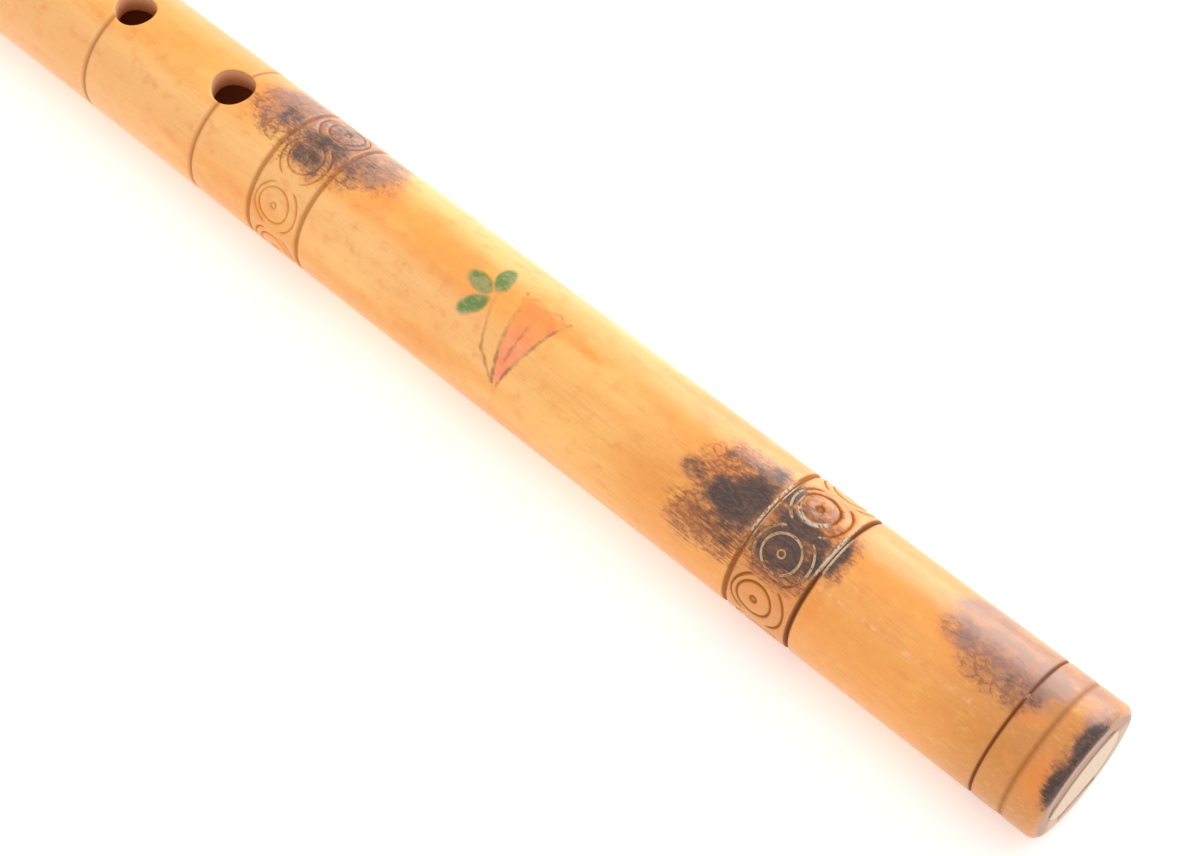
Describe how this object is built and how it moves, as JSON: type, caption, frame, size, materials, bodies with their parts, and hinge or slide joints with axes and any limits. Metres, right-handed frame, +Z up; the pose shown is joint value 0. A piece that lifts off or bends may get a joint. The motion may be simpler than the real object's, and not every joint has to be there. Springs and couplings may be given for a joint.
{
  "type": "six-hole duct flute",
  "caption": "Bamboo duct flute: a straight lacquered tube with finger holes, carved ring-and-dot bands, scorch marks, a small painted flower and a wooden block in the mouth end.",
  "frame": {"origin": "centre of the mouth-end face, on the bore axis", "axes": "+X along the bore from the mouth end to the foot, +Z up through the finger holes; the flute lies level on its underside"},
  "size_m": [0.35, 0.022, 0.022],
  "materials": {
    "bamboo": "honey-coloured lacquer, satin gloss, scorched in patches",
    "pale_wood": "raw pale wood, matte"
  },
  "bodies": {
    "root": {"tube": "bamboo", "fipple_block": "pale_wood"}
  },
  "joints": []
}
